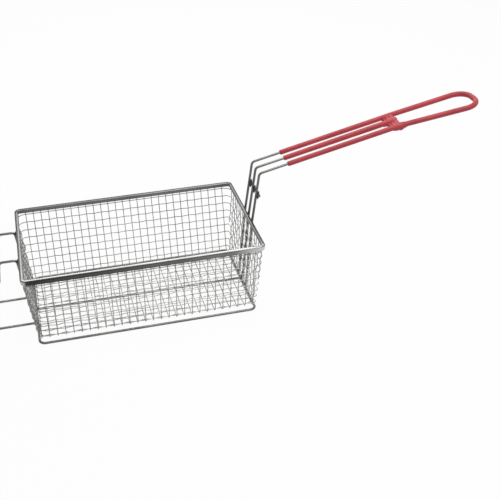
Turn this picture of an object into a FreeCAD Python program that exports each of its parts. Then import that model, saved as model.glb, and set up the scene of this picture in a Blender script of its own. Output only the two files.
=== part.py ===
import FreeCAD, Part
import math
import os
import Sketcher
from FreeCAD import Vector

# Fry basket: a woven wire body in a folded rim, standing on a wire base frame with a bar along its middle. Two
# hooks and a low bumper stand at the front, and a three-wire handle with a dipped grip rises at the back. +X points
# along the handle, +Z up, and the origin is at the middle of the base frame, on the table.

# Driving sizes, in millimetres unless they count something
SIZES = [
    # The folded rim round the mouth
    ("rim_length", 280),
    ("rim_width", 175),
    ("rim_top", 97.5),
    ("rim_thickness", 4.6),
    ("rim_depth", 6.5),
    ("rim_sheet", 0.8),
    ("rim_lip", 2.2),
    ("inner_lip_rise", 1.3),
    ("rim_edge", 1.4),
    ("rim_corner", 7),
    ("rim_grip", 3.5),
    ("lip_clearance", 0.3),
    # The woven body
    ("mesh_wire", 1),
    ("mesh_clearance", 0.05),
    ("mesh_bend", 6.5),
    ("floor_length", 258),
    ("floor_width", 138),
    ("cross_count", 28),
    ("cross_inset", 2.1),
    ("long_count", 14),
    ("long_inset", 7.25),
    ("hoop_count", 9),
    ("hoop_pitch", 9.9),
    ("hoop_below_rim", 8.5),
    ("hoop_corner", 3),
    ("filler_foot", 44),
    # The heavy wire of the frame, bumper, hooks and handle
    ("heavy_wire", 3),
    ("weld_clearance", 0.1),
    ("frame_end_overhang", 2.5),
    ("frame_side_overhang", 5.5),
    ("frame_corner", 7),
    # The bumper and the hooks at the front
    ("bumper_spread", 58),
    ("bumper_reach", 58),
    ("bumper_bend", 8),
    ("hook_spread", 66),
    ("hook_below_rim", 3.5),
    ("hook_reach", 20),
    ("hook_drop", 26),
    ("hook_flare", 3.5),
    ("hook_bend", 4.5),
    # The handle
    ("handle_spread", 33.6),
    ("rim_bend", 60),
    ("riser_top", 155.8),
    ("riser_out", 11.2),
    ("riser_bend", 5),
    ("handle_run", 178),
    ("handle_rise", 40.3),
    ("loop_run", 102.3),
    ("loop_rise", 18.3),
    ("loop_spread", 47),
    ("loop_bend", 80),
    ("loop_corner", 17.7),
    ("tie_height", 127.5),
    ("tie_length", 42),
    ("bar_length", 39),
    ("grip_run", 35),
    ("grip_thickness", 1.3),
    ("grip_clearance", 0.05),
]

document = FreeCAD.newDocument("FryBasket")
sheet = document.addObject("Spreadsheet::Sheet", "Sizes")
for row, (alias, value) in enumerate(SIZES, start=1):
    sheet.set(f"A{row}", alias)
    sheet.set(f"B{row}", str(value))
    sheet.setAlias(f"B{row}", alias)
document.recompute()


def size(alias):
    """A driving size, as an expression."""
    return f"Sizes.{alias}"


def number(expression):
    """What an expression comes to."""
    return float(sheet.evalExpression(expression))


# Sizes worked out from the driving ones, as expressions that the sub-parts are bound to
RADIUS = f"({size('heavy_wire')} / 2)"
RIM_X = f"(({size('rim_length')} - {size('rim_thickness')}) / 2)"
RIM_Y = f"(({size('rim_width')} - {size('rim_thickness')}) / 2)"
LIP_Z = f"({size('rim_top')} - {size('rim_depth')})"
WIRE_TOP = f"({LIP_Z} + {size('rim_grip')})"
FOOT_Z = f"({size('heavy_wire')} + 2 * {size('weld_clearance')})"
CROSS_Z = f"({size('heavy_wire')} + {size('weld_clearance')} + {size('mesh_wire')} / 2)"
LAYER = f"({size('mesh_wire')} + {size('mesh_clearance')})"
LONG_Z = f"({CROSS_Z} + {LAYER})"
FLOOR_X = f"({size('floor_length')} / 2)"
FLOOR_Y = f"({size('floor_width')} / 2)"
FRAME_X = f"({FLOOR_X} + {size('frame_end_overhang')} - {RADIUS})"
FRAME_Y = f"({FLOOR_Y} + {size('frame_side_overhang')} - {RADIUS})"
LAST_CROSS_X = f"({FLOOR_X} - {size('cross_inset')})"
CROSS_PITCH = f"(2 * {LAST_CROSS_X} / ({size('cross_count')} - 1))"
LAST_LONG_Y = f"({FLOOR_Y} - {size('long_inset')})"
LONG_PITCH = f"(2 * {LAST_LONG_Y} / ({size('long_count')} - 1))"
FILLER_Y = f"(({LAST_LONG_Y} + {RIM_Y}) / 2)"
LEAN_X = f"(({RIM_X} - {FLOOR_X}) / ({LIP_Z} - {LONG_Z}))"
LEAN_Y = f"(({RIM_Y} - {FLOOR_Y}) / ({LIP_Z} - {CROSS_Z}))"
# A heavy wire up an end wall lies against the hoops, and against the rim above them.
STAND_OFF = f"({LAYER} + {size('mesh_wire')} / 2 + {RADIUS} + 2 * {size('weld_clearance')})"
WALL_FOOT_X = f"({FLOOR_X} + {STAND_OFF} + ({FOOT_Z} - {LONG_Z}) * {LEAN_X})"
RIM_REST_X = f"({size('rim_length')} / 2 + {RADIUS} + 2 * {size('weld_clearance')})"
RIM_REST_Z = f"({size('rim_top')} - {size('rim_depth')} / 2)"
WALL_LEAN = f"(({RIM_REST_X} - {WALL_FOOT_X}) / ({RIM_REST_Z} - {FOOT_Z}))"
BUMPER_Y = f"({size('bumper_spread')} / 2)"
HOOK_Y = f"({size('hook_spread')} / 2)"
HOOK_Z = f"({size('rim_top')} - {size('hook_below_rim')})"
RISER_X = f"({size('rim_length')} / 2 + {size('riser_out')})"
RISER_LEAN = f"(({RISER_X} - {RIM_REST_X}) / ({size('riser_top')} - {RIM_REST_Z}))"
HANDLE_SLOPE = f"({size('handle_rise')} / {size('handle_run')})"
BAR_X = f"({RISER_X} + {size('handle_run')})"
BAR_Z = f"({size('riser_top')} + {size('handle_rise')})"
CENTRE_END_X = f"({BAR_X} + {RADIUS})"
CENTRE_END_Z = f"({BAR_Z} + {RADIUS} * {HANDLE_SLOPE})"
BESIDE = f"({size('heavy_wire')} + {size('weld_clearance')})"
FRAME_OUT_X = f"({FRAME_X} + {RADIUS} + {size('weld_clearance')})"
FRAME_IN_X = f"({FRAME_X} - {RADIUS} - {size('weld_clearance')})"


def out_at(foot, lean, height, floor):
    """How far out a leaning wire stands at a height."""
    return f"({foot} + ({height} - {floor}) * {lean})"


def minus(expression):
    return f"(-{expression})"


# Wires have this many sides, few enough for all the bends and meshes to stay light.
MESH_SIDES = 6
HEAVY_SIDES = 10


# Paths: a corner is two expressions and the radius that rounds it, or None where the runs only meet
def round_corner(before, corner, after, radius):
    """Where a tangent arc leaves the first run, its centre, and where it joins the second run."""
    back = (before - corner).normalize()
    ahead = (after - corner).normalize()
    half_turn = (math.pi - back.getAngle(ahead)) / 2
    reach = radius * math.tan(half_turn)
    inward = (back + ahead).normalize()
    centre = corner + inward * math.hypot(reach, radius)
    return corner + back * reach, centre, corner + ahead * reach


def hold(sketch, geometry, end, corner):
    """Bind one end of a line, or a point, to a corner's two expressions."""
    for kind, expression in zip(("DistanceX", "DistanceY"), corner):
        index = sketch.addConstraint(Sketcher.Constraint(kind, geometry, end, number(expression)))
        sketch.setExpression(f"Constraints[{index}]", expression)


def draw_arc(sketch, leave, centre, join, radius):
    """An arc between two runs, with the ends that leave the first and join the second."""
    start = leave - centre
    finish = join - centre
    forward = start.x * finish.y - start.y * finish.x > 0
    first, last = (start, finish) if forward else (finish, start)
    circle = Part.Circle(centre, Vector(0, 0, 1), start.Length)
    arc = Part.ArcOfCircle(circle, math.atan2(first.y, first.x), math.atan2(last.y, last.x))
    geometry = sketch.addGeometry(arc)
    index = sketch.addConstraint(Sketcher.Constraint("Radius", geometry, start.Length))
    sketch.setExpression(f"Constraints[{index}]", radius)
    return (geometry, 1, 2) if forward else (geometry, 2, 1)


def draw_path(sketch, corners, closed=False):
    """Straight runs from corner to corner, with arcs at the corners that have a radius."""
    count = len(corners)
    points = [Vector(number(across), number(up), 0) for across, up, radius in corners]
    finishes = list(points)
    starts = list(points)
    centres = {}
    for index, (across, up, radius) in enumerate(corners):
        if radius:
            following = points[(index + 1) % count]
            bend = round_corner(points[index - 1], points[index], following, number(radius))
            finishes[index], centres[index], starts[index] = bend
    lines = []
    for index in range(count if closed else count - 1):
        run = Part.LineSegment(starts[index], finishes[(index + 1) % count])
        lines.append(sketch.addGeometry(run))
    if not closed:
        hold(sketch, lines[0], 1, corners[0][:2])
        hold(sketch, lines[-1], 2, corners[-1][:2])
    for index in range(0 if closed else 1, count if closed else count - 1):
        across, up, radius = corners[index]
        arrive, leave = lines[index - 1], lines[index]
        if radius:
            ends = finishes[index], centres[index], starts[index]
            arc, enter, depart = draw_arc(sketch, *ends, radius)
            corner = sketch.addGeometry(Part.Point(points[index]), True)
            hold(sketch, corner, 1, (across, up))
            sketch.addConstraint(Sketcher.Constraint("PointOnObject", corner, 1, arrive))
            sketch.addConstraint(Sketcher.Constraint("PointOnObject", corner, 1, leave))
            sketch.addConstraint(Sketcher.Constraint("Tangent", arrive, 2, arc, enter))
            sketch.addConstraint(Sketcher.Constraint("Tangent", leave, 1, arc, depart))
        else:
            sketch.addConstraint(Sketcher.Constraint("Coincident", arrive, 2, leave, 1))
            hold(sketch, leave, 1, (across, up))


def rectangle_path(half_x, half_y, radius):
    """A rectangle with rounded corners, starting halfway along its +X side."""
    return [
        (half_x, "0", None),
        (half_x, half_y, radius),
        (minus(half_x), half_y, radius),
        (minus(half_x), minus(half_y), radius),
        (half_x, minus(half_y), radius),
    ]


# Bodies and their features
def new_body(label):
    body = document.addObject("PartDesign::Body", label)
    body.Label = label
    return body


def origin(body, role):
    return next(item for item in body.Origin.OriginFeatures if item.Role == role)


def new_sketch(body, name, role, offset):
    sketch = body.newObject("Sketcher::SketchObject", name)
    sketch.AttachmentSupport = [(origin(body, role), "")]
    sketch.MapMode = "FlatFace"
    sketch.setExpression("AttachmentOffset.Base.z", offset)
    return sketch


def draw_section(sketch, across, up, wire, sides, turned=0):
    """The many-sided section of a wire, with its first corner turned from the sketch's own X."""
    corners = []
    for corner in range(sides):
        angle = 360 / sides * corner + turned
        right = f"({across} + {size(wire)} / 2 * cos({angle} deg))"
        above = f"({up} + {size(wire)} / 2 * sin({angle} deg))"
        corners.append((right, above, None))
    draw_path(sketch, corners, closed=True)


def sweep(body, section, path):
    """Draw a section along a path."""
    document.recompute()
    pipe = body.newObject("PartDesign::AdditivePipe", f"{body.Name}_run")
    pipe.Profile = section
    pipe.Spine = (path, [])
    pipe.Transition = "Right corner"
    return pipe


def repeat(body, feature, role, count, pitch):
    """A row of copies along one of the body's axes."""
    document.recompute()
    pattern = body.newObject("PartDesign::LinearPattern", f"{body.Name}_row")
    pattern.Originals = [feature]
    pattern.Direction = (origin(body, role), [""])
    pattern.setExpression("Length", f"({count} - 1) * {pitch}")
    pattern.setExpression("Occurrences", count)
    body.Tip = pattern


# The rim: a channel of folded sheet, its lips pinched in on the mesh and the inner one shorter
def rim_half(lip_z):
    """One side of the sheet and of its hollow, as across from the mesh and up, from the lip to the top."""
    lip = f"({size('mesh_wire')} / 2 + {size('lip_clearance')})"
    outer = f"({size('rim_thickness')} / 2)"
    inner = f"({outer} - {size('rim_sheet')})"
    shoulder = f"({lip_z} + {size('rim_lip')})"
    side = [
        (f"({lip} + {size('rim_sheet')})", lip_z),
        (outer, shoulder),
        (outer, f"({size('rim_top')} - {size('rim_edge')})"),
        (f"({outer} - {size('rim_edge')})", size("rim_top")),
    ]
    crown = f"({size('rim_top')} - {size('rim_sheet')})"
    return side, [(lip, lip_z), (inner, shoulder), (inner, crown)]


def make_rim():
    body = new_body("rim_channel")
    path = new_sketch(body, "rim_line", "XY_Plane", LIP_Z)
    corner = f"({size('rim_corner')} - {size('rim_thickness')} / 2)"
    draw_path(path, rectangle_path(RIM_X, RIM_Y, corner), closed=True)
    outer_side, outer_hollow = rim_half(LIP_Z)
    inner_side, inner_hollow = rim_half(f"({LIP_Z} + {size('inner_lip_rise')})")
    outline = [(f"{RIM_X} + {across}", up, None) for across, up in outer_side]
    outline += [(f"{RIM_X} - {across}", up, None) for across, up in reversed(inner_side)]
    outline += [(f"{RIM_X} - {across}", up, None) for across, up in inner_hollow]
    outline += [(f"{RIM_X} + {across}", up, None) for across, up in reversed(outer_hollow)]
    section = new_sketch(body, "rim_section", "XZ_Plane", "0")
    draw_path(section, outline, closed=True)
    sweep(body, section, path)
    return body


# The base frame: one closed ring of heavy wire on the table, with a bumper butted to its front
def make_base_frame():
    body = new_body("base_frame")
    path = new_sketch(body, "frame_line", "XY_Plane", RADIUS)
    draw_path(path, rectangle_path(FRAME_X, FRAME_Y, size("frame_corner")), closed=True)
    section = new_sketch(body, "frame_section", "XZ_Plane", "0")
    draw_section(section, FRAME_X, RADIUS, "heavy_wire", HEAVY_SIDES, 90)
    sweep(body, section, path)
    return body


def make_bumper():
    body = new_body("front_bumper")
    start = minus(FRAME_OUT_X)
    front = minus(f"({FRAME_OUT_X} + {size('bumper_reach')})")
    corners = [
        (start, minus(BUMPER_Y), None),
        (front, minus(BUMPER_Y), size("bumper_bend")),
        (front, BUMPER_Y, size("bumper_bend")),
        (start, BUMPER_Y, None),
    ]
    path = new_sketch(body, "bumper_line", "XY_Plane", RADIUS)
    draw_path(path, corners)
    section = new_sketch(body, "bumper_section", "YZ_Plane", start)
    draw_section(section, minus(BUMPER_Y), RADIUS, "heavy_wire", HEAVY_SIDES, 90)
    sweep(body, section, path)
    return body


# The woven body: wires that run up one wall, across under the floor and up the other, and hoops round the walls
def tray_path(foot, lean, floor):
    """Half a tray outline and its mirror image, with each lower edge bent over a flat."""
    side = [
        (out_at(foot, lean, WIRE_TOP, floor), WIRE_TOP, None),
        (f"({foot} + {size('mesh_bend')} * {lean})", f"({floor} + {size('mesh_bend')})", None),
        (f"({foot} - {size('mesh_bend')})", floor, None),
    ]
    return side + [(minus(across), up, None) for across, up, radius in reversed(side)]


def make_cross_wires():
    body = new_body("cross_wires")
    first = minus(LAST_CROSS_X)
    path = new_sketch(body, "cross_line", "YZ_Plane", first)
    draw_path(path, tray_path(FLOOR_Y, LEAN_Y, CROSS_Z))
    section = new_sketch(body, "cross_section", "XY_Plane", WIRE_TOP)
    top = out_at(FLOOR_Y, LEAN_Y, WIRE_TOP, CROSS_Z)
    draw_section(section, first, top, "mesh_wire", MESH_SIDES, 30)
    wire = sweep(body, section, path)
    repeat(body, wire, "X_Axis", size("cross_count"), CROSS_PITCH)
    return body


def make_long_wires():
    body = new_body("long_wires")
    first = minus(LAST_LONG_Y)
    path = new_sketch(body, "long_line", "XZ_Plane", LAST_LONG_Y)
    draw_path(path, tray_path(FLOOR_X, LEAN_X, LONG_Z))
    section = new_sketch(body, "long_section", "XY_Plane", WIRE_TOP)
    draw_section(section, out_at(FLOOR_X, LEAN_X, WIRE_TOP, LONG_Z), first, "mesh_wire", MESH_SIDES)
    wire = sweep(body, section, path)
    repeat(body, wire, "Y_Axis", size("long_count"), LONG_PITCH)
    return body


def make_hoop(position):
    """A hoop counted down from the rim, outside the upright wires."""
    body = new_body(f"wall_hoop_{position + 1}")
    height = f"({size('rim_top')} - {size('hoop_below_rim')} - {position} * {size('hoop_pitch')})"
    half_x = f"({out_at(FLOOR_X, LEAN_X, height, LONG_Z)} + {LAYER})"
    half_y = f"({out_at(FLOOR_Y, LEAN_Y, height, CROSS_Z)} + {LAYER})"
    # Its corners bend in two steps, past the last upright wires, so they widen with the walls.
    room = f"min({half_x} - {LAST_CROSS_X}; {half_y} - {FILLER_Y}) - {size('mesh_wire')} / 2"
    corner = f"max({size('hoop_corner')}; {room})"
    quarter = [
        (half_x, f"({half_y} - {corner})"),
        (f"({half_x} - 0.293 * {corner})", f"({half_y} - 0.293 * {corner})"),
        (f"({half_x} - {corner})", half_y),
    ]
    points = [(half_x, "0")] + quarter
    points += [(minus(x), y) for x, y in reversed(quarter)]
    points += [(minus(x), minus(y)) for x, y in quarter]
    points += [(x, minus(y)) for x, y in reversed(quarter)]
    corners = [(x, y, None) for x, y in points]
    path = new_sketch(body, f"hoop_line_{position + 1}", "XY_Plane", height)
    draw_path(path, corners, closed=True)
    section = new_sketch(body, f"hoop_section_{position + 1}", "XZ_Plane", "0")
    draw_section(section, half_x, height, "mesh_wire", MESH_SIDES)
    sweep(body, section, path)
    return body


def make_filler_wires(label, side):
    """Short upright wires that fill an end wall's upper corners, where it is wider than the floor."""
    body = new_body(label)
    foot = f"{side} * {out_at(FLOOR_X, LEAN_X, size('filler_foot'), LONG_Z)}"
    top = f"{side} * {out_at(FLOOR_X, LEAN_X, WIRE_TOP, LONG_Z)}"
    path = new_sketch(body, f"{label}_line", "XZ_Plane", FILLER_Y)
    draw_path(path, [(top, WIRE_TOP, None), (foot, size("filler_foot"), None)])
    section = new_sketch(body, f"{label}_section", "XY_Plane", WIRE_TOP)
    draw_section(section, top, minus(FILLER_Y), "mesh_wire", MESH_SIDES)
    wire = sweep(body, section, path)
    repeat(body, wire, "Y_Axis", "2", f"2 * {FILLER_Y}")
    return body


# Wires that stand on the frame and are bent in one upright plane: the hooks and the middle handle wire
def make_standing_wire(label, y, corners):
    body = new_body(label)
    path = new_sketch(body, f"{label}_line", "XZ_Plane", minus(y))
    draw_path(path, corners)
    section = body.newObject("Sketcher::SketchObject", f"{label}_section")
    section.AttachmentSupport = [(path, "Edge1")]
    section.MapMode = "NormalToEdge"
    draw_section(section, "0", "0", "heavy_wire", HEAVY_SIDES, 90)
    sweep(body, section, path)
    return body


def make_hook(label, side):
    """Up the front wall, over the hanging rail and down to a free tip."""
    out = f"({RIM_REST_X} + {size('hook_reach')})"
    corners = [
        (minus(WALL_FOOT_X), FOOT_Z, None),
        (minus(out_at(WALL_FOOT_X, WALL_LEAN, HOOK_Z, FOOT_Z)), HOOK_Z, size("hook_bend")),
        (minus(out), HOOK_Z, size("hook_bend")),
        (minus(f"({out} + {size('hook_flare')})"), f"({HOOK_Z} - {size('hook_drop')})", None),
    ]
    return make_standing_wire(label, f"({side} * {HOOK_Y})", corners)


def make_centre_wire():
    """Up the back wall and out to the bar under the grip."""
    corners = [
        (WALL_FOOT_X, FOOT_Z, None),
        (RIM_REST_X, RIM_REST_Z, size("rim_bend")),
        (RISER_X, size("riser_top"), size("riser_bend")),
        (CENTRE_END_X, CENTRE_END_Z, None),
    ]
    return make_standing_wire("handle_centre_wire", "0", corners)


# Wires bent in space: a point is three lengths, and each point between the ends has a radius
def wire_along(points, radii, radius):
    edges = []
    start = points[0]
    for before, corner, after, bend in zip(points, points[1:], points[2:], radii):
        leave, centre, join = round_corner(before, corner, after, bend)
        middle = centre + (corner - centre).normalize() * bend
        edges.append(Part.LineSegment(start, leave).toShape())
        edges.append(Part.Arc(leave, middle, join).toShape())
        start = join
    edges.append(Part.LineSegment(start, points[-1]).toShape())
    side = Vector(0, 1, 0)
    upward = (points[1] - points[0]).normalize().cross(side)
    section = []
    for corner in range(HEAVY_SIDES):
        angle = math.radians(360 / HEAVY_SIDES * corner)
        section.append(points[0] + (upward * math.cos(angle) + side * math.sin(angle)) * radius)
    outline = Part.makePolygon(section + section[:1])
    return Part.Wire(edges).makePipeShell([outline], True, False)


def both_sides(points, radii):
    """A run along -Y carried on, in mirror image, along +Y."""
    mirrored = [Vector(point.x, -point.y, point.z) for point in reversed(points)]
    return points + mirrored, radii + radii[::-1]


def new_shape(label, shape):
    feature = document.addObject("Part::Feature", label)
    feature.Label = label
    feature.Shape = shape
    feature.Placement = FreeCAD.Placement()
    return feature


# The outer handle wire: up the back wall on both sides of the middle one, and closed in a loop at the end
def handle_side(start):
    """One side of the handle from its start to the end of the loop, and the radii of its bends."""
    y = -number(size("handle_spread")) / 2
    loop_x = number(BAR_X) + number(size("loop_run"))
    loop_z = number(BAR_Z) + number(size("loop_rise"))
    points = [
        start,
        Vector(number(BAR_X), y, number(BAR_Z)),
        Vector(loop_x, -number(size("loop_spread")) / 2, loop_z),
    ]
    return points, [number(size("loop_bend")), number(size("loop_corner"))]


def handle_loop_path():
    y = -number(size("handle_spread")) / 2
    riser = Vector(number(RISER_X), y, number(size("riser_top")))
    points, radii = handle_side(riser)
    lower = [
        Vector(number(WALL_FOOT_X), y, number(FOOT_Z)),
        Vector(number(RIM_REST_X), y, number(RIM_REST_Z)),
    ]
    lower_radii = [number(size("rim_bend")), number(size("riser_bend"))]
    return both_sides(lower + points, lower_radii + radii)


def make_loop_wire():
    points, radii = handle_loop_path()
    return new_shape("handle_loop_wire", wire_along(points, radii, number(RADIUS)))


# Straight bars: one along the middle of the base frame, and two short ones across the handle wires
def new_bar(label, length, axis, turn):
    bar = document.addObject("Part::Cylinder", label)
    bar.Label = label
    bar.setExpression("Radius", RADIUS)
    bar.setExpression("Height", length)
    bar.Placement.Rotation = FreeCAD.Rotation(axis, turn)
    return bar


def make_floor_bar():
    bar = new_bar("floor_bar", f"2 * {FRAME_IN_X}", Vector(0, 1, 0), 90)
    bar.setExpression("Placement.Base.x", minus(FRAME_IN_X))
    bar.setExpression("Placement.Base.z", RADIUS)
    return bar


def make_bar(label, length, across, up):
    bar = new_bar(label, length, Vector(1, 0, 0), -90)
    bar.setExpression("Placement.Base.x", across)
    bar.setExpression("Placement.Base.y", f"{length} / -2")
    bar.setExpression("Placement.Base.z", up)
    return bar


def make_tie_bar():
    riser = out_at(RIM_REST_X, RISER_LEAN, size("tie_height"), RIM_REST_Z)
    return make_bar("handle_tie_bar", size("tie_length"), f"{riser} + {BESIDE}", size("tie_height"))


def make_cross_bar():
    return make_bar("grip_cross_bar", size("bar_length"), BAR_X, f"{BAR_Z} - {BESIDE}")


# The grip: one dipped coat over the loop, the end of the middle wire and the bar under them
def round_bar(bar, radius, past):
    """A round as long as a bar and a little past both its ends."""
    along = Vector(0, 1, 0)
    start = bar.Placement.Base - along * past
    return Part.makeCylinder(radius, number(size("bar_length")) + 2 * past, start, along)


def make_grip(bar):
    gap = number(size("grip_clearance"))
    coat = number(size("grip_thickness"))
    bore = number(RADIUS) + gap
    skin = bore + coat
    along = number(size("grip_run"))
    start = Vector(number(RISER_X) + along, 0, number(size("riser_top")) + along * number(HANDLE_SLOPE))
    wire_end = Vector(number(CENTRE_END_X), 0, number(CENTRE_END_Z))
    ahead = (wire_end - start).normalize()
    beside = Vector(0, -number(size("handle_spread")) / 2, 0)
    outside = wire_along(*both_sides(*handle_side(start + beside)), skin)
    outside = outside.fuse(wire_along([start, wire_end + ahead * coat], [], skin))
    outside = outside.fuse(round_bar(bar, skin, gap + coat))
    inside = wire_along(*handle_loop_path(), bore)
    inside = inside.fuse(wire_along([start - ahead * coat, wire_end + ahead * gap], [], bore))
    inside = inside.fuse(round_bar(bar, bore, gap))
    return new_shape("grip_coating", outside.cut(inside).Solids[0])


nodes = [
    make_rim(),
    make_base_frame(),
    make_floor_bar(),
    make_bumper(),
    make_cross_wires(),
    make_long_wires(),
    make_filler_wires("front_filler_wires", -1),
    make_filler_wires("back_filler_wires", 1),
    make_hook("near_hook", -1),
    make_hook("far_hook", 1),
    make_centre_wire(),
    make_loop_wire(),
    make_tie_bar(),
]
nodes += [make_hoop(position) for position in range(int(number(size("hoop_count"))))]
cross_bar = make_cross_bar()
document.recompute()
nodes += [cross_bar, make_grip(cross_bar)]
document.recompute()

for item in document.Objects:
    if "Invalid" in item.State or "Error" in item.State:
        raise RuntimeError(f"{item.Label} failed: {item.State}")
os.makedirs("parts", exist_ok=True)
for node in nodes:
    if node.Shape.isNull() or not node.Shape.isValid():
        raise RuntimeError(f"{node.Label} has no valid shape")
    print(f"{node.Label}: {len(node.Shape.Solids)} solids, {node.Shape.Volume:.0f} mm3")
for node in nodes:
    node.Shape.exportStep(f"parts/{node.Label}.step")
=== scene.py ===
import math

import bpy
import numpy as np
from mathutils import Matrix, Vector


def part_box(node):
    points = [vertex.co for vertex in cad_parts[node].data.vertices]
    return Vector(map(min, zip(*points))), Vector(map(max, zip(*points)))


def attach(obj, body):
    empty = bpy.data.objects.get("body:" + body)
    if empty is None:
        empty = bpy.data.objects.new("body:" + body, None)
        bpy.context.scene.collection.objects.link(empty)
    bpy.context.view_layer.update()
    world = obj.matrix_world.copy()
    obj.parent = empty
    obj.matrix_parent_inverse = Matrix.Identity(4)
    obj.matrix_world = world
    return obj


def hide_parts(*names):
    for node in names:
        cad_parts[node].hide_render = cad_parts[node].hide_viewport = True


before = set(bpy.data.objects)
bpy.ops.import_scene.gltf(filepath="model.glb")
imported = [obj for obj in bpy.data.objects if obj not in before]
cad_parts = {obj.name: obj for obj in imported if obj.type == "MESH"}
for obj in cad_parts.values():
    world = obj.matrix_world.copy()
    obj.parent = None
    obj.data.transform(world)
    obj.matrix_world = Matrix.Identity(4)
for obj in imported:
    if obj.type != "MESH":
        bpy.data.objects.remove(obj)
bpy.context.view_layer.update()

# The wires, as thick as the solids have them
HEAVY = 0.003
HEAVY_RADIUS = HEAVY / 2
HEAVY_SIDES = 16
MESH = 0.001
MESH_RADIUS = MESH / 2
MESH_SIDES = 8
MESH_CLEARANCE = 0.00005
LAYER = MESH + MESH_CLEARANCE
WELD_GAP = 0.0001

# The bevel at a wire's end, as shares of its radius, and the steps of a bend
BEVEL_LENGTH = 0.3
END_FACE = 0.75
BEND_STEPS = 8
SHARP_ANGLE = math.radians(40)

# The rim and base frame, read from the frame
RIM_LOW, RIM_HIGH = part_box("rim_channel")
RIM_THICKNESS = 0.0046
RIM_X = RIM_HIGH.x - RIM_THICKNESS / 2
RIM_Y = RIM_HIGH.y - RIM_THICKNESS / 2
RIM_CORNER = 0.007
RIM_SHEET = 0.0008
RIM_FOLD = 0.0014
LIP_Z = RIM_LOW.z
LIP_GAP = 0.0003
LIP_RISE = 0.0022
INNER_LIP_RISE = 0.0013
FRAME_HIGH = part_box("base_frame")[1]
FRAME_CORNER = 0.007

# The woven body
FLOOR_X = 0.129
FLOOR_Y = 0.069
FLOOR_BEND = 0.0085
CROSS_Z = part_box("cross_wires")[0].z + MESH_RADIUS
LONG_Z = CROSS_Z + LAYER
WIRE_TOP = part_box("cross_wires")[1].z
CROSS_COUNT = 28
CROSS_PITCH = 0.0094
LONG_COUNT = 14
LONG_PITCH = 0.0095
HOOP_COUNT = 9
HOOP_PITCH = 0.0099
HOOP_BELOW_RIM = 0.0085
TOP_HOOP_Z = RIM_HIGH.z - HOOP_BELOW_RIM
LOWEST_HOOP_Z = TOP_HOOP_Z - (HOOP_COUNT - 1) * HOOP_PITCH
HOOP_CORNER = 0.003
FILLER_FOOT = 0.044
LEAN_X = (RIM_X - FLOOR_X) / (LIP_Z - LONG_Z)
LEAN_Y = (RIM_Y - FLOOR_Y) / (LIP_Z - CROSS_Z)
LAST_CROSS_X = (CROSS_COUNT - 1) * CROSS_PITCH / 2
LAST_LONG_Y = (LONG_COUNT - 1) * LONG_PITCH / 2
FILLER_Y = (LAST_LONG_Y + RIM_Y) / 2
STEPS_PER_PITCH = 5

# Where the crimps of the weave fade out: this far below the lowest hoop, below the top one, and
# past a wall's or the floor's last wire
LOW_FADE = (0.008, 0.003)
TOP_FADE = (0.007, 0.003)
SIDE_FADE = (0.001, 0.005)
# A tray wire is in the floor up to this height over it, and a hoop is straight up to this far
# from its outermost line
FLOOR_BAND = 0.001
STRAIGHT_BAND = 0.0005

# The heavy wires
FOOT_Z = HEAVY + 2 * WELD_GAP
BUMPER_LOW, BUMPER_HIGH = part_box("front_bumper")
BUMPER_BEND = 0.008
HOOK_Y = 0.033
HOOK_BELOW_RIM = 0.0035
HOOK_Z = RIM_HIGH.z - HOOK_BELOW_RIM
HOOK_REACH = 0.020
HOOK_DROP = 0.026
HOOK_FLARE = 0.0035
HOOK_BEND = 0.0045
STAND_OFF = LAYER + MESH_RADIUS + HEAVY_RADIUS + 2 * WELD_GAP
WALL_FOOT = (FLOOR_X + STAND_OFF + (FOOT_Z - LONG_Z) * LEAN_X, FOOT_Z)
RIM_REST = (RIM_HIGH.x + HEAVY_RADIUS + 2 * WELD_GAP, (RIM_HIGH.z + LIP_Z) / 2)
WALL_LEAN = (RIM_REST[0] - WALL_FOOT[0]) / (RIM_REST[1] - WALL_FOOT[1])

# The handle, with its places in X and Z
HANDLE_Y = 0.0168
RISER_OUT = 0.0112
RISER_HEIGHT = 0.1558
HANDLE_RUN = 0.178
HANDLE_RISE = 0.0403
LOOP_RUN = 0.1023
LOOP_RISE = 0.0183
RISER_TOP = (RIM_HIGH.x + RISER_OUT, RISER_HEIGHT)
BAR = (RISER_TOP[0] + HANDLE_RUN, RISER_TOP[1] + HANDLE_RISE)
HANDLE_SLOPE = (BAR[1] - RISER_TOP[1]) / (BAR[0] - RISER_TOP[0])
LOOP_END = (BAR[0] + LOOP_RUN, BAR[1] + LOOP_RISE)
LOOP_Y = 0.0235
LOOP_CORNER = 0.0177
LOOP_BEND = 0.080
RIM_BEND = 0.060
RISER_BEND = 0.005
BAR_LOW, BAR_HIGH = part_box("grip_cross_bar")

# Weld beads, as length and radius, and how a tie bar's bead sits beside its riser
BEAD_STEPS = 8
BEAD_SIDES = 12
BEAD_TIP = 0.25
FOOT_BEAD = (0.0052, 0.0013)
RIM_BEAD = (0.005, 0.0011)
TIE_BEAD = (0.0112, 0.0013)
BUTT_BEAD = (0.0056, 0.0014)
BEAD_INSET = HEAVY_RADIUS * 0.9
FOOT_BEAD_LIFT = 0.0004
RIM_BEAD_DROP = 0.001
TIE_BEAD_SHIFT = (0.0006, -0.0016, 0.0006)
TIE_BEAD_LEAN = 0.16

# The coat: the solid's thickness, and how much thicker the photo has it at the end of the loop
GRIP_START_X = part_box("grip_coating")[0].x
GRIP_THICKNESS = 0.0013
GRIP_GAP = 0.00003
GRIP_RADIUS = HEAVY_RADIUS + GRIP_THICKNESS + GRIP_GAP
GRIP_GAIN = 0.00062
GAIN_AT_START = 0.4
GRIP_SIDES = 24
GRIP_INSET = 0.0007
GRIP_STEP = 0.004
GRIP_FINENESS = 0.0006
GRIP_ROUNDS = 7
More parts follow.
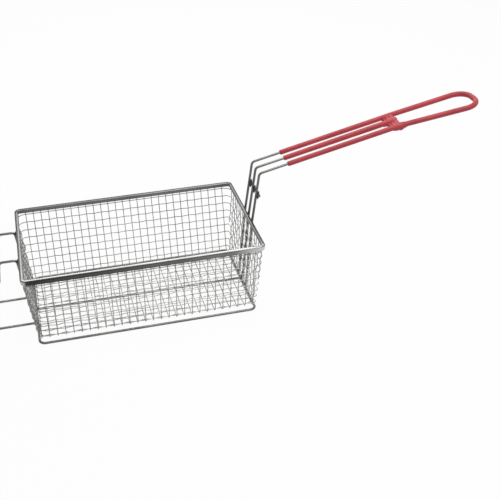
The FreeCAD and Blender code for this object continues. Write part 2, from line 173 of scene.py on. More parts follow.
# The middle wire's coat swells up and out towards the bar, and runs a little past it
MIDDLE_PAST_BAR = 0.0004
MIDDLE_LIFT = 0.0005
MIDDLE_GAIN = 0.0003
# The bar's coat is fuller between the outer wires than at its ends
COATED_BAR_BACK = 0.0004
COATED_BAR_LIFT = 0.0008
COATED_BAR_POINTS = 25
COATED_BAR_END = 0.0031
COATED_BAR_FILL = 0.0009
COATED_BAR_TAPER = 0.002
# Webs between the wires, as way back from the bar, way down and radius, and lumps on the wires, as
# way back from the bar, place across and radius
GRIP_WEBS = ((0.001, 0.0010, 0.0030), (0.005, 0.0020, 0.0026), (0.009, 0.0026, 0.0020))
GRIP_LUMPS = ((0.001, -HANDLE_Y, 0.0047), (0.008, 0, 0.0040), (0.004, HANDLE_Y, 0.0040))
LUMP_LENGTH = 0.022
LUMP_DROP = 0.0008

# The camera, fitted to the corners of the rim and base frame in the photo
CAMERA_PLACE = Vector((-0.0970, -0.9382, 0.6260))
CAMERA_AZIMUTH = math.radians(-14.318)
CAMERA_ELEVATION = math.radians(31.132)
CAMERA_ROLL = math.radians(-0.938)
CAMERA_LENS = 63.96
SENSOR_WIDTH = 36

# The stage: how white the floor and the world are where they are seen, and how much light the
# world gives
STAGE_REACH = 8.0
STAGE_WHITE = (0.95, 0.95, 0.95, 1)
STAGE_GLOW = 0.95
WORLD_LIGHT = 0.22
WORLD_WHITE = 0.975


# Shapes
def smooth_step(low, high, value):
    """0 below low and 1 above high, with a soft change between."""
    share = min(1.0, max(0.0, (value - low) / (high - low)))
    return share * share * (3 - 2 * share)


def round_corner(before, corner, after, radius):
    """The points of a tangent arc at a corner."""
    back = (before - corner).normalized()
    ahead = (after - corner).normalized()
    half_turn = (math.pi - back.angle(ahead)) / 2
    inward = (back + ahead).normalized()
    centre = corner + inward * (radius / math.cos(half_turn))
    out = -inward
    across = (ahead - inward * ahead.dot(inward)).normalized()
    points = []
    for step in range(BEND_STEPS + 1):
        angle = half_turn * (2 * step / BEND_STEPS - 1)
        points.append(centre + (out * math.cos(angle) + across * math.sin(angle)) * radius)
    return points


def bent_path(corners):
    """The points of a wire's middle line, from corners that are a point and a bend's radius."""
    points = []
    for index, (corner, radius) in enumerate(corners):
        if radius:
            points += round_corner(corners[index - 1][0], corner, corners[index + 1][0], radius)
        else:
            points.append(corner)
    return points


def evenly(points, spacing):
    """The same line with points a set distance apart."""
    line = np.array(points)
    lengths = np.linalg.norm(np.diff(line, axis=0), axis=1)
    reach = np.concatenate([[0], np.cumsum(lengths)])
    stations = np.linspace(0, reach[-1], int(round(reach[-1] / spacing)) + 1)
    columns = [np.interp(stations, reach, line[:, axis]) for axis in range(3)]
    return [Vector(point) for point in zip(*columns)]


def ring_faces(ring_count, size, closed):
    """The four-sided faces between rings of as many vertices each."""
    faces = []
    for ring in range(ring_count if closed else ring_count - 1):
        low = ring * size
        high = ((ring + 1) % ring_count) * size
        for index in range(size):
            following = (index + 1) % size
            faces.append((low + index, low + following, high + following, high + index))
    return faces


def tube(points, radius, sides, closed=False, first_normal=None):
    """Vertices and faces of a round wire with bevelled ends.

    radius is one number or one for each point.
    """
    radii = [radius] * len(points) if isinstance(radius, float) else list(radius)
    line = np.array(points)
    if closed:
        tangents = np.roll(line, -1, axis=0) - np.roll(line, 1, axis=0)
    else:
        tangents = np.gradient(line, axis=0)
    tangents = [Vector(tangent).normalized() for tangent in tangents]
    normal = first_normal or tangents[0].orthogonal()
    turns = [2 * math.pi * side / sides for side in range(sides)]
    rings = []
    for point, tangent, size in zip(points, tangents, radii):
        normal = (normal - tangent * normal.dot(tangent)).normalized()
        beside = tangent.cross(normal)
        spokes = [normal * math.cos(turn) + beside * math.sin(turn) for turn in turns]
        rings.append([point + spoke * size for spoke in spokes])
    if not closed:
        bevel = BEVEL_LENGTH * radii[0]
        start, finish = points[0], points[-1]
        first = [start + (vertex - start) * END_FACE for vertex in rings[0]]
        last = [finish + (vertex - finish) * END_FACE for vertex in rings[-1]]
        rings[0] = [vertex + tangents[0] * bevel for vertex in rings[0]]
        rings[-1] = [vertex - tangents[-1] * bevel for vertex in rings[-1]]
        rings = [first] + rings + [last]
    vertices = [vertex for ring in rings for vertex in ring]
    faces = ring_faces(len(rings), sides, closed)
    if not closed:
        faces.append(tuple(reversed(range(sides))))
        faces.append(tuple(range(len(vertices) - sides, len(vertices))))
    return vertices, faces


def joined(shapes):
    """Several lots of vertices and faces as one."""
    vertices = []
    faces = []
    for more_vertices, more_faces in shapes:
        start = len(vertices)
        vertices += more_vertices
        faces += [tuple(start + index for index in face) for face in more_faces]
    return vertices, faces


def add_object(name, shape):
    """A mesh object of vertices and faces."""
    vertices, faces = shape
    mesh = bpy.data.meshes.new(name)
    mesh.from_pydata(vertices, [], faces)
    thing = bpy.data.objects.new(name, mesh)
    bpy.context.collection.objects.link(thing)
    return thing


def add_piece(name, shape, material, slot, *nodes):
    """A piece of the basket that rides on its one body and stands for CAD nodes."""
    piece = add_object(name, shape)
    piece.data.shade_smooth()
    piece.data.set_sharp_from_angle(angle=SHARP_ANGLE)
    piece.data.materials.append(material)
    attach(piece, "root")
    if nodes:
        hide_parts(*nodes)


# Materials
class Tree:
    """The nodes of a material or of the world, with short ways to add to them."""

    def __init__(self, node_tree):
        self.nodes = node_tree.nodes
        self.links = node_tree.links

    def link(self, source, target):
        self.links.new(source, target)

    def axes(self, kind):
        """X, Y and Z of the place on the object, or of the way that its skin faces."""
        place = self.nodes.new("ShaderNodeTexCoord")
        split = self.nodes.new("ShaderNodeSeparateXYZ")
        self.link(place.outputs[kind], split.inputs["Vector"])
        return [split.outputs[axis] for axis in "XYZ"]

    def noise(self, scale, detail, stretch=(1, 1, 1)):
        """Noise in the object's own space."""
        place = self.nodes.new("ShaderNodeTexCoord")
        mapping = self.nodes.new("ShaderNodeMapping")
        mapping.inputs["Scale"].default_value = stretch
        noise = self.nodes.new("ShaderNodeTexNoise")
        noise.inputs["Scale"].default_value = scale
        noise.inputs["Detail"].default_value = detail
        self.link(place.outputs["Object"], mapping.inputs["Vector"])
        self.link(mapping.outputs["Vector"], noise.inputs["Vector"])
        return noise.outputs["Fac"]

    def ramp(self, value, stops):
        """A colour for a value, from stops of a place and a colour."""
        node = self.nodes.new("ShaderNodeValToRGB")
        elements = node.color_ramp.elements
        elements[0].position = stops[0][0]
        elements[0].color = (*stops[0][1], 1)
        elements[1].position = stops[-1][0]
        elements[1].color = (*stops[-1][1], 1)
        for place, colour in stops[1:-1]:
            elements.new(place).color = (*colour, 1)
        self.link(value, node.inputs["Fac"])
        return node.outputs["Color"]

    def span(self, value, source, target):
        """A value carried over from one range to another."""
        node = self.nodes.new("ShaderNodeMapRange")
        node.inputs["From Min"].default_value = source[0]
        node.inputs["From Max"].default_value = source[1]
        node.inputs["To Min"].default_value = target[0]
        node.inputs["To Max"].default_value = target[1]
        self.link(value, node.inputs["Value"])
        return node.outputs["Result"]

    def rise(self, value, low, high):
        """0 at the low value and 1 at the high one."""
        return self.span(value, (low, high), (0.0, 1.0))

    def fall(self, value, low, high):
        """1 at the low value and 0 at the high one."""
        return self.span(value, (low, high), (1.0, 0.0))

    def math(self, operation, first, second):
        """Two values put together. The second may be a number."""
        node = self.nodes.new("ShaderNodeMath")
        node.operation = operation
        self.link(first, node.inputs[0])
        if isinstance(second, float):
            node.inputs[1].default_value = second
        else:
            self.link(second, node.inputs[1])
        return node.outputs["Value"]

    def total(self, first, second):
        return self.math("ADD", first, second)

    def product(self, first, second):
        return self.math("MULTIPLY", first, second)

    def larger(self, first, second):
        return self.math("MAXIMUM", first, second)

    def magnitude(self, value):
        return self.math("ABSOLUTE", value, 0.0)

    def mix(self, share, first, second):
        """One colour that goes over to another. A mix node has its colour sockets last."""
        node = self.nodes.new("ShaderNodeMix")
        node.data_type = "RGBA"
        self.link(share, node.inputs[0])
        self.link(first, node.inputs[6])
        self.link(second, node.inputs[7])
        return node.outputs[2]

    def bump(self, height, strength, distance, shader):
        node = self.nodes.new("ShaderNodeBump")
        node.inputs["Strength"].default_value = strength
        node.inputs["Distance"].default_value = distance
        self.link(height, node.inputs["Height"])
        self.link(node.outputs["Normal"], shader.inputs["Normal"])


# The part of its range that noise mostly keeps to
NOISE_RANGE = (0.3, 0.7)
RIM_PATCHES = (0.47, 0.63)


def new_material(name):
    material = bpy.data.materials.new(name)
    material.use_nodes = True
    tree = Tree(material.node_tree)
    return material, tree, tree.nodes["Principled BSDF"]


def plated_wire(name, dark, light, smooth, dull):
    """Nickel plating with patches that are duller and a little darker."""
    material, tree, shader = new_material(name)
    shader.inputs["Metallic"].default_value = 1.0
    patches = tree.noise(22, 4)
    colour = tree.ramp(patches, list(zip(NOISE_RANGE, (dark, light))))
    tree.link(colour, shader.inputs["Base Color"])
    tree.link(tree.span(patches, NOISE_RANGE, (dull, smooth)), shader.inputs["Roughness"])
    tree.bump(tree.noise(1500, 2), 0.1, 0.0001, shader)
    return material


def rim_plating():
    """The rim's plating, with a painted highlight on its flat top and painted shade down its sides.

    The near side's face has painted shade that is darkest at its front end and darker at its top
    and bottom edges than half-way up, and painted glints at both ends. The other sides have
    painted shade on their outer edge, and the far one has a painted pale reflection on its inner
    face.
    The other sides have a dark outer edge, and the far one has a pale inner face.
    """
    material, tree, shader = new_material("rim_nickel")
    shader.inputs["Metallic"].default_value = 1.0
    x, y, z = tree.axes("Object")
    upward = tree.axes("Normal")[2]
    patches = tree.span(tree.noise(30, 3), NOISE_RANGE, RIM_PATCHES)

    def patchy(dark, light):
        return tree.ramp(patches, list(zip(RIM_PATCHES, (dark, light))))

    # The sides, and how far out from the mesh a point lies
    near = tree.fall(y, -RIM_HIGH.y, -RIM_Y + 0.008)
    far = tree.rise(y, RIM_Y - 0.010, RIM_Y - 0.004)
    front = tree.span(x, (-RIM_HIGH.x, -RIM_X + 0.008), (0.5, 0.0))
    out_x = tree.math("SUBTRACT", tree.magnitude(x), RIM_X)
    out_y = tree.math("SUBTRACT", tree.magnitude(y), RIM_Y)
    out = tree.larger(out_x, out_y)

    # Painted shade down the faces, which on the near one changes along the rim and up it
    along = tree.span(x, (-RIM_HIGH.x, RIM_HIGH.x), (-0.55, 0.3))
    height = tree.span(z, (LIP_Z, RIM_HIGH.z), (-0.5, 0.5))
    middle = tree.span(tree.magnitude(height), (0.1, 0.36), (0.08, -0.2))
    shade = tree.total(tree.product(near, tree.total(along, middle)), patches)
    tone = tree.ramp(shade, [
        (0.0, (0.034, 0.034, 0.033)),
        (0.3, (0.076, 0.075, 0.074)),
        (0.55, (0.118, 0.117, 0.115)),
        (0.85, (0.205, 0.203, 0.199)),
    ])

    # Painted highlight on the flat top of the near and front sides
    flat_top = tree.rise(upward, 0.70, 0.97)
    painted_top_highlight = tree.product(flat_top, tree.larger(near, front))
    bright = patchy((0.25, 0.248, 0.243), (0.32, 0.317, 0.311))
    tone = tree.mix(painted_top_highlight, tone, bright)

    # Painted shade along the outer edge and on the far top
    edge = tree.larger(tree.rise(out, -0.0004, 0.0005), tree.product(far, flat_top))
    edge = tree.product(edge, tree.fall(near, 0.2, 0.5))
    edge = tree.product(edge, tree.rise(upward, 0.05, 0.35))
    dark = patchy((0.034, 0.034, 0.033), (0.056, 0.055, 0.054))
    tone = tree.mix(edge, tone, dark)

    # Painted glints (highlights) at both ends of the near face
    back_end = tree.rise(x, RIM_X - 0.035, RIM_X - 0.001)
    front_end = tree.span(x, (0.004 - RIM_HIGH.x, 0.0065 - RIM_HIGH.x), (0.7, 0.0))
    near_face = tree.product(tree.fall(upward, 0.2, 0.6), tree.rise(near, 0.2, 0.6))
    painted_end_glints = tree.product(tree.larger(back_end, front_end), near_face)
    glint_tone = patchy((0.50, 0.497, 0.488), (0.62, 0.616, 0.605))
    tone = tree.mix(painted_end_glints, tone, glint_tone)

    # Painted reflection: a pale inner face on the far side
    inside = tree.product(tree.fall(out, -0.0021, -0.0012), far)
    painted_pale_reflection = patchy((0.140, 0.139, 0.136), (0.190, 0.188, 0.184))
    tree.link(tree.mix(inside, tone, painted_pale_reflection), shader.inputs["Base Color"])
    tree.link(tree.span(painted_top_highlight, (0, 1), (0.27, 0.20)), shader.inputs["Roughness"])
    tree.bump(tree.noise(900, 2, (0.1, 0.1, 1)), 0.1, 0.0001, shader)
    return material


def dipped_vinyl():
    """Red vinyl from a dip: satin, a little uneven in colour, with a faint orange-peel skin."""
    material, tree, shader = new_material("dipped_vinyl")
    patches = tree.noise(45, 3)
    reds = ((0.44, 0.046, 0.060), (0.56, 0.064, 0.080))
    tree.link(tree.ramp(patches, list(zip(NOISE_RANGE, reds))), shader.inputs["Base Color"])
    tree.link(tree.span(patches, NOISE_RANGE, (0.52, 0.42)), shader.inputs["Roughness"])
    shader.inputs["Specular IOR Level"].default_value = 0.35
    tree.bump(tree.noise(700, 2), 0.2, 0.0003, shader)
    return material


heavy_metal = plated_wire(
    "bright_nickel", dark=(0.095, 0.094, 0.092), light=(0.185, 0.183, 0.180), smooth=0.20, dull=0.30)
mesh_metal = plated_wire(
    "woven_nickel", dark=(0.19, 0.189, 0.186), light=(0.37, 0.368, 0.362), smooth=0.24, dull=0.36)
weld_metal = plated_wire(
    "weld_nickel", dark=(0.055, 0.054, 0.053), light=(0.11, 0.109, 0.107), smooth=0.28, dull=0.45)
rim_metal = rim_plating()
vinyl = dipped_vinyl()


# The woven body: each wire passes over one crossing and under the next, except by the rim and the
# lower edges
def turn_of(index):
    """Each second wire passes the other way."""
    return 1 if index % 2 else -1


def crossing(distance, pitch, turn):
    """How far a wire is towards the other layer: 0 in its own layer, 1 in the other one."""
    return (1 + turn * math.cos(math.pi * distance / pitch)) / 2


def wall_weave(height):
    """How fully the walls are woven at a height: not by the rim, and not by the lower edge."""
    rise = smooth_step(LOWEST_HOOP_Z - LOW_FADE[0], LOWEST_HOOP_Z - LOW_FADE[1], height)
    return rise * (1 - smooth_step(TOP_HOOP_Z - TOP_FADE[0], TOP_HOOP_Z - TOP_FADE[1], height))


def side_weave(along, last):
    """How fully a wall or the floor is woven at a place along it: not past the last wire."""
    return 1 - smooth_step(last + SIDE_FADE[0], last + SIDE_FADE[1], abs(along))


def tray_line(foot, lean, floor):
    """Across and up along half of a tray outline and its mirror image."""
    top = Vector((foot + (WIRE_TOP - floor) * lean, WIRE_TOP, 0))
    edge = Vector((foot, floor, 0))
    mirrored_edge = Vector((-foot, floor, 0))
    mirrored_top = Vector((-top.x, top.y, 0))
    corners = [(top, 0), (edge, FLOOR_BEND), (mirrored_edge, FLOOR_BEND), (mirrored_top, 0)]
    return [point.xy for point in evenly(bent_path(corners), LONG_PITCH / STEPS_PER_PITCH)]


def tray_wire(foot, lean, floor, pitch, last, turn, upper):
    """Across and up along a woven tray wire, in the upper layer of the floor or the lower one."""
    points = []
    for across, up in tray_line(foot, lean, floor):
        out = wall_weave(up) * crossing(TOP_HOOP_Z - up, HOOP_PITCH, turn) * LAYER
        floor_share = side_weave(across, last) if up < floor + FLOOR_BAND else 0
        shift = floor_share * crossing(across - last, pitch, turn) * LAYER
        points.append((across + math.copysign(out, across), up + (-shift if upper else shift)))
    return points


def add_woven(node, wires):
    add_piece(f"{node}_woven", joined(wires), mesh_metal, "mesh_wire", node)


def make_cross_wires():
    wires = []
    for index in range(CROSS_COUNT):
        x = (index - (CROSS_COUNT - 1) / 2) * CROSS_PITCH
        turn = turn_of(index)
        line = tray_wire(FLOOR_Y, LEAN_Y, CROSS_Z, LONG_PITCH, LAST_LONG_Y, turn, upper=False)
        wires.append(tube([Vector((x, y, z)) for y, z in line], MESH_RADIUS, MESH_SIDES))
    add_woven("cross_wires", wires)


def make_long_wires():
    wires = []
    for index in range(LONG_COUNT):
        y = (index - (LONG_COUNT - 1) / 2) * LONG_PITCH
        turn = turn_of(index)
        line = tray_wire(FLOOR_X, LEAN_X, LONG_Z, CROSS_PITCH, LAST_CROSS_X, turn, upper=True)
        wires.append(tube([Vector((x, y, z)) for x, z in line], MESH_RADIUS, MESH_SIDES))
    add_woven("long_wires", wires)


def make_filler_wires(node, side):
    wires = []
    for y in (-FILLER_Y, FILLER_Y):
        foot = Vector((side * (FLOOR_X + (FILLER_FOOT - LONG_Z) * LEAN_X), y, FILLER_FOOT))
        top = Vector((side * (FLOOR_X + (WIRE_TOP - LONG_Z) * LEAN_X), y, WIRE_TOP))
        points = []
        for point in evenly([top, foot], HOOP_PITCH / STEPS_PER_PITCH):
            share = crossing(TOP_HOOP_Z - point.z, HOOP_PITCH, -1)
            out = wall_weave(point.z) * share * LAYER
            points.append(point + Vector((side * out, 0, 0)))
        wires.append(tube(points, MESH_RADIUS, MESH_SIDES))
    add_woven(node, wires)


def make_hoop(position):
    """A hoop counted down from the rim."""
    z = TOP_HOOP_Z - position * HOOP_PITCH
    half_x = FLOOR_X + (z - LONG_Z) * LEAN_X + LAYER
    half_y = FLOOR_Y + (z - CROSS_Z) * LEAN_Y + LAYER
    bend = max(HOOP_CORNER, min(half_x - LAST_CROSS_X, half_y - FILLER_Y) - MESH_RADIUS)
    signs = [(1, 1), (-1, 1), (-1, -1), (1, -1)]
    corners = [(Vector((half_x, 0, z)), 0)]
    corners += [(Vector((sx * half_x, sy * half_y, z)), bend) for sx, sy in signs]
    corners.append((Vector((half_x, 0, z)), 0))
    turn = -turn_of(position)
    inward = wall_weave(z) * LAYER
    points = []
    for point in evenly(bent_path(corners), LONG_PITCH / STEPS_PER_PITCH)[:-1]:
        x, y = point.xy
        if half_x - abs(point.x) < STRAIGHT_BAND:
            share = side_weave(y, LAST_LONG_Y) * crossing(y + LAST_LONG_Y, LONG_PITCH, turn)
            x -= math.copysign(inward * share, point.x)
        if half_y - abs(point.y) < STRAIGHT_BAND:
            share = side_weave(point.x, LAST_CROSS_X)
            share *= crossing(point.x + LAST_CROSS_X, CROSS_PITCH, turn)
            y -= math.copysign(inward * share, point.y)
        points.append(Vector((x, y, z)))
    hoop = tube(points, MESH_RADIUS, MESH_SIDES, closed=True, first_normal=Vector((0, 0, 1)))
    add_woven(f"wall_hoop_{position + 1}", [hoop])


# The rim: sheet folded over the tops of the mesh wires, with its lips pinched in
def rounded_rectangle(half_x, half_y, radius):
    """A rounded rectangle's points and the outward direction at each."""
    line = []
    for sx, sy, start in ((1, 1, 0), (-1, 1, 90), (-1, -1, 180), (1, -1, 270)):
        centre = Vector((sx * (half_x - radius), sy * (half_y - radius), 0))
        for step in range(BEND_STEPS + 1):
            angle = math.radians(start + 90 * step / BEND_STEPS)
            out = Vector((math.cos(angle), math.sin(angle), 0))
            line.append((centre + out * radius, out))
    return line


def rim_half(lip_z):
    """One side of the sheet and of its hollow, as out from the mesh and up, from lip to top."""
    lip = MESH_RADIUS + LIP_GAP
    outer = RIM_THICKNESS / 2
    inner = outer - RIM_SHEET
    shoulder = lip_z + LIP_RISE
    top = RIM_HIGH.z
    under = top - RIM_SHEET
    bevel = 0.0005
    # The cut edge of the sheet and the shoulder over the lip are a little rounded.
    side = [
        (lip + RIM_SHEET * 0.6, lip_z),
        (lip + RIM_SHEET, lip_z + RIM_SHEET * 0.4),
        (outer - 0.0002, shoulder - 0.0004),
        (outer, shoulder + 0.0003),
    ]
    for degrees in range(0, 105, 15):
        angle = math.radians(degrees)
        out = outer - RIM_FOLD + RIM_FOLD * math.cos(angle)
        side.append((out, top - RIM_FOLD + RIM_FOLD * math.sin(angle)))
    hollow = [(lip, lip_z), (inner, shoulder), (inner, under - bevel), (inner - bevel, under)]
    return side, hollow


def rim_section():
    """Out and up round the folded sheet, over the top from lip to lip and back inside."""
    outer_side, outer_hollow = rim_half(LIP_Z)
    inner_side, inner_hollow = rim_half(LIP_Z + INNER_LIP_RISE)
    section = outer_side + [(-out, up) for out, up in reversed(inner_side)]
    return section + [(-out, up) for out, up in inner_hollow] + list(reversed(outer_hollow))


def make_rim():
    section = rim_section()
    line = rounded_rectangle(RIM_X, RIM_Y, RIM_CORNER - RIM_THICKNESS / 2)
    vertices = []
    for point, out in line:
        for away, up in section:
            vertices.append(Vector((point.x + out.x * away, point.y + out.y * away, up)))
    # The section runs the other way round than a tube's, so its faces are turned over.
    faces = [(a, d, c, b) for a, b, c, d in ring_faces(len(line), len(section), closed=True)]
    add_piece("rim_folded", (vertices, faces), rim_metal, "rim_sheet", "rim_channel")


# The heavy wires
def heavy_wire(name, corners, node):
    shape = tube(bent_path(corners), HEAVY_RADIUS, HEAVY_SIDES)
    add_piece(name, shape, heavy_metal, "heavy_wire", node)


def at_y(corners, y):
    """Corners of an outline in X and Z, set at a place across."""
    return [(Vector((x, y, z)), radius) for x, z, radius in corners]


def both_sides(corners):
    """A run along -Y carried on, in mirror image, along +Y."""
    flip = Vector((1, -1, 1))
    return corners + [(point * flip, radius) for point, radius in reversed(corners)]


def wall_x(height):
    """How far out a heavy wire stands on an end wall."""
    return WALL_FOOT[0] + (height - WALL_FOOT[1]) * WALL_LEAN


def make_base_frame():
    half_x = FRAME_HIGH.x - HEAVY_RADIUS
    half_y = FRAME_HIGH.y - HEAVY_RADIUS
    outline = rounded_rectangle(half_x, half_y, FRAME_CORNER)
    points = [Vector((point.x, point.y, HEAVY_RADIUS)) for point, out in outline]
    shape = tube(points, HEAVY_RADIUS, HEAVY_SIDES, closed=True, first_normal=Vector((0, 0, 1)))
    add_piece("base_frame_wire", shape, heavy_metal, "heavy_wire", "base_frame")


def make_floor_bar():
    low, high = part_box("floor_bar")
    corners = at_y([(low.x, HEAVY_RADIUS, 0), (high.x, HEAVY_RADIUS, 0)], 0)
    heavy_wire("floor_bar_wire", corners, "floor_bar")


def make_bumper():
    corners = [
        (BUMPER_HIGH.x, HEAVY_RADIUS, 0),
        (BUMPER_LOW.x + HEAVY_RADIUS, HEAVY_RADIUS, BUMPER_BEND),
    ]
    half = at_y(corners, BUMPER_LOW.y + HEAVY_RADIUS)
    heavy_wire("front_bumper_wire", both_sides(half), "front_bumper")


def make_hook(node, side):
    out = RIM_REST[0] + HOOK_REACH
    corners = [
        (-WALL_FOOT[0], WALL_FOOT[1], 0),
        (-wall_x(HOOK_Z), HOOK_Z, HOOK_BEND),
        (-out, HOOK_Z, HOOK_BEND),
        (-out - HOOK_FLARE, HOOK_Z - HOOK_DROP, 0),
    ]
    heavy_wire(f"{node}_wire", at_y(corners, side * HOOK_Y), node)


def handle_at(x):
    """A point on the straight part of the handle, in X and Z."""
    return x, RISER_TOP[1] + (x - RISER_TOP[0]) * HANDLE_SLOPE


def make_centre_wire():
    corners = [
        (*WALL_FOOT, 0),
        (*RIM_REST, RIM_BEND),
        (*RISER_TOP, RISER_BEND),
        (*handle_at(BAR[0] + HEAVY_RADIUS), 0),
    ]
    heavy_wire("handle_centre_wire_round", at_y(corners, 0), "handle_centre_wire")


def handle_side(start, inset=0.0):
    """One side of the handle, from its start to the end of the loop, which may lie further in."""
    loop_end = Vector((LOOP_END[0] - inset, -LOOP_Y + inset / 2, LOOP_END[1] - inset))
    return [start, (Vector((BAR[0], -HANDLE_Y, BAR[1])), LOOP_BEND), (loop_end, LOOP_CORNER)]


def make_loop_wire():
    lower = at_y([(*WALL_FOOT, 0), (*RIM_REST, RIM_BEND)], -HANDLE_Y)
    riser = (Vector((RISER_TOP[0], -HANDLE_Y, RISER_TOP[1])), RISER_BEND)
    corners = both_sides(lower + handle_side(riser))
    heavy_wire("handle_loop_wire_round", corners, "handle_loop_wire")


def make_bar(node):
    low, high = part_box(node)
    x = (low.x + high.x) / 2
    z = (low.z + high.z) / 2
    corners = [(Vector((x, low.y, z)), 0), (Vector((x, high.y, z)), 0)]
    heavy_wire(f"{node}_round", corners, node)


# Weld beads, where heavy wires meet each other and the rim
def bead(place, along, length, radius):
    """A drop of weld that is drawn out along a seam."""
    points = []
    radii = []
    for step in range(BEAD_STEPS + 1):
        share = 2 * step / BEAD_STEPS - 1
        points.append(Vector(place) + Vector(along).normalized() * (share * length / 2))
        radii.append(radius * (BEAD_TIP + (1 - BEAD_TIP) * math.sqrt(1 - share * share)))
    return tube(points, radii, BEAD_SIDES)


def make_welds():
    across = (0, 1, 0)
    beads = []
    standing = [(-1, -HOOK_Y), (-1, HOOK_Y), (1, -HANDLE_Y), (1, 0), (1, HANDLE_Y)]
    for end, y in standing:
        foot = (end * (WALL_FOOT[0] - BEAD_INSET * 0.5), y, HEAVY + FOOT_BEAD_LIFT)
        rim = (end * (RIM_REST[0] - BEAD_INSET), y, RIM_REST[1] - RIM_BEAD_DROP)
        beads.append(bead(foot, across, *FOOT_BEAD))
        beads.append(bead(rim, (end * WALL_LEAN, 0, 1), *RIM_BEAD))
    tie_low, tie_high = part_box("handle_tie_bar")
    tie_z = (tie_low.z + tie_high.z) / 2
    shift_x, shift_y, shift_z = TIE_BEAD_SHIFT
    for y in (-HANDLE_Y, 0, HANDLE_Y):
        place = (tie_low.x + shift_x, y + shift_y, tie_z + shift_z)
        beads.append(bead(place, (TIE_BEAD_LEAN, 0, 1), *TIE_BEAD))
    end_x = FRAME_HIGH.x - HEAVY
    leg_ys = (BUMPER_LOW.y + HEAVY_RADIUS, BUMPER_HIGH.y - HEAVY_RADIUS)
    butts = [(-end_x, 0), (end_x, 0)] + [(BUMPER_HIGH.x, y) for y in leg_ys]
    beads += [bead((x, y, HEAVY_RADIUS), across, *BUTT_BEAD) for x, y in butts]
    add_piece("weld_beads", joined(beads), weld_metal, "heavy_wire")


# The grip: one dipped coat whose runs flow together round the bar
def flowed(shape, fineness, rounds):
    """A shape melted into one skin, with its inner corners filled."""
    melt = add_object("melt", shape)
    skin = melt.modifiers.new("skin", "REMESH")
    skin.mode = "VOXEL"
    skin.voxel_size = fineness
    smooth = melt.modifiers.new("smooth", "SMOOTH")
    smooth.factor = 0.5
    smooth.iterations = rounds
    solid = melt.evaluated_get(bpy.context.evaluated_depsgraph_get()).to_mesh()
    vertices = [vertex.co.copy() for vertex in solid.vertices]
    faces = [tuple(face.vertices) for face in solid.polygons]
    mesh = melt.data
    bpy.data.objects.remove(melt)
    bpy.data.meshes.remove(mesh)
    return vertices, faces


def coat_radius(x):
    """How thick the coated wire is at a place along the handle, to its middle."""
    share = (x - GRIP_START_X) / (LOOP_END[0] - GRIP_START_X)
    return GRIP_RADIUS + GRIP_GAIN * (GAIN_AT_START + (1 - GAIN_AT_START) * share)


def coated_loop(start_x):
    start = at_y([(*handle_at(start_x), 0)], -HANDLE_Y)
    points = bent_path(both_sides(handle_side(start[0], GRIP_GAIN)))
    return tube(points, [coat_radius(point.x) for point in points], GRIP_SIDES)


def coated_middle(start_x):
    end_x = BAR[0] + HEAVY_RADIUS + MIDDLE_PAST_BAR
    line = evenly(bent_path(at_y([(*handle_at(x), 0) for x in (start_x, end_x)], 0)), GRIP_STEP)
    points = []
    radii = []
    for point, share in zip(line, np.linspace(0, 1, len(line))):
        points.append(point + Vector((0, 0, MIDDLE_LIFT * share)))
        radii.append(coat_radius(point.x) + MIDDLE_GAIN * share)
    return tube(points, radii, GRIP_SIDES)


def coated_bar():
    x = BAR[0] - COATED_BAR_BACK
    z = (BAR_LOW.z + BAR_HIGH.z) / 2 + COATED_BAR_LIFT
    end = BAR_HIGH.y + GRIP_THICKNESS
    points = []
    radii = []
    for share in np.linspace(-1, 1, COATED_BAR_POINTS):
        point = Vector((x, end * share, z))
        fill = 1 - smooth_step(HANDLE_Y - COATED_BAR_TAPER, end, abs(point.y))
        points.append(point)
        radii.append(COATED_BAR_END + COATED_BAR_FILL * fill)
    return tube(points, radii, GRIP_SIDES)


def make_grip():
    """The coat is thicker towards the loop's end, where it ran, and fills corners at the bar."""
    start_x = GRIP_START_X + GRIP_INSET
    runs = [coated_loop(start_x), coated_middle(start_x), coated_bar()]
    for back, drop, radius in GRIP_WEBS:
        x, z = handle_at(BAR[0] - back)
        points = [Vector((x, y, z - drop)) for y in (-HANDLE_Y, 0, HANDLE_Y)]
        runs.append(tube(points, radius, GRIP_SIDES))
    for back, y, radius in GRIP_LUMPS:
        x, z = handle_at(BAR[0] - back)
        runs.append(bead((x, y, z - LUMP_DROP), (1, 0, HANDLE_SLOPE), LUMP_LENGTH, radius))
    shape = flowed(joined(runs), GRIP_FINENESS, GRIP_ROUNDS)
    add_piece("grip_dipped", shape, vinyl, "grip_vinyl", "grip_coating")


# The stage: a white floor and soft light
def is_seen(tree):
    """1 on rays from the camera and on those that gloss and glass send on."""
    path = tree.nodes.new("ShaderNodeLightPath")
    gloss = tree.larger(path.outputs["Is Camera Ray"], path.outputs["Is Glossy Ray"])
    return tree.larger(gloss, path.outputs["Is Transmission Ray"])


def make_floor():
    reach = STAGE_REACH
    corners = [(-reach, -reach, 0), (reach, -reach, 0), (reach, reach, 0), (-reach, reach, 0)]
    floor = add_object("floor", (corners, [(0, 1, 2, 3)]))
    material, tree, shader = new_material("white_floor")
    shader.inputs["Base Color"].default_value = STAGE_WHITE
    shader.inputs["Roughness"].default_value = 0.9
    shader.inputs["Specular IOR Level"].default_value = 0.0
    glow = tree.nodes.new("ShaderNodeEmission")
    glow.inputs["Color"].default_value = (1, 1, 1, 1)
    blend = tree.nodes.new("ShaderNodeMixShader")
    tree.link(tree.product(is_seen(tree), STAGE_GLOW), blend.inputs["Fac"])
    tree.link(shader.outputs["BSDF"], blend.inputs[1])
    tree.link(glow.outputs["Emission"], blend.inputs[2])
    tree.link(blend.outputs["Shader"], tree.nodes["Material Output"].inputs["Surface"])
    floor.data.materials.append(material)


def make_world():
    world = bpy.data.worlds.new("studio")
    world.use_nodes = True
    tree = Tree(world.node_tree)
    background = tree.nodes["Background"]
    background.inputs["Color"].default_value = (1, 1, 1, 1)
    strength = tree.span(is_seen(tree), (0, 1), (WORLD_LIGHT, WORLD_WHITE))
    tree.link(strength, background.inputs["Strength"])
    bpy.context.scene.world = world


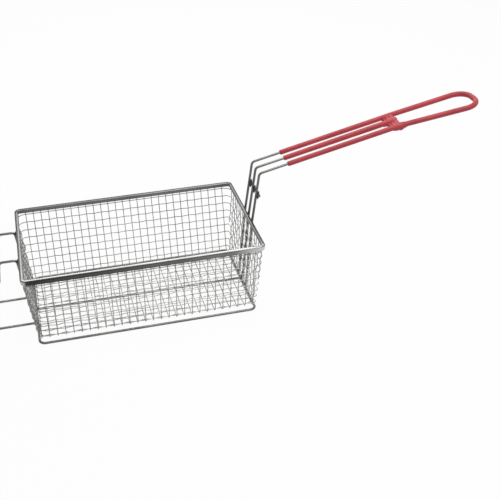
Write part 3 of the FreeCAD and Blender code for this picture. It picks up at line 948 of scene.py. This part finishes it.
def make_lamp(name, place, target, width, height, power):
    lamp = bpy.data.lights.new(name, "AREA")
    lamp.shape = "RECTANGLE"
    lamp.size = width
    lamp.size_y = height
    lamp.energy = power
    holder = bpy.data.objects.new(name, lamp)
    holder.location = place
    way = Vector(target) - Vector(place)
    holder.rotation_euler = way.to_track_quat("-Z", "Y").to_euler()
    bpy.context.collection.objects.link(holder)


def make_camera():
    back = Vector((
        math.sin(CAMERA_AZIMUTH) * math.cos(CAMERA_ELEVATION),
        -math.cos(CAMERA_AZIMUTH) * math.cos(CAMERA_ELEVATION),
        math.sin(CAMERA_ELEVATION),
    ))
    right = Vector((math.cos(CAMERA_AZIMUTH), math.sin(CAMERA_AZIMUTH), 0))
    up = back.cross(right)
    rolled_right = right * math.cos(CAMERA_ROLL) + up * math.sin(CAMERA_ROLL)
    rolled_up = up * math.cos(CAMERA_ROLL) - right * math.sin(CAMERA_ROLL)
    lens = bpy.data.cameras.new("photo_camera")
    lens.lens = CAMERA_LENS
    lens.sensor_width = SENSOR_WIDTH
    camera = bpy.data.objects.new("photo_camera", lens)
    turn = Matrix((rolled_right, rolled_up, back)).transposed()
    camera.matrix_world = Matrix.Translation(CAMERA_PLACE) @ turn.to_4x4()
    bpy.context.collection.objects.link(camera)
    bpy.context.scene.camera = camera


make_camera()
make_cross_wires()
make_long_wires()
make_filler_wires("front_filler_wires", -1)
make_filler_wires("back_filler_wires", 1)
for hoop in range(HOOP_COUNT):
    make_hoop(hoop)
make_rim()
make_base_frame()
make_floor_bar()
make_bumper()
make_hook("near_hook", -1)
make_hook("far_hook", 1)
make_centre_wire()
make_loop_wire()
make_bar("handle_tie_bar")
make_bar("grip_cross_bar")
make_welds()
make_grip()
make_floor()
make_world()
make_lamp("overhead", (0.4, -0.25, 1.6), (0.4, 0, 0.08), width=0.8, height=1.6, power=17)
make_lamp("back_softbox", (0.12, 1.33, 1.12), (0.12, 0, 0.08), width=1.1, height=0.45, power=7)
bpy.context.scene.view_settings.view_transform = "Standard"
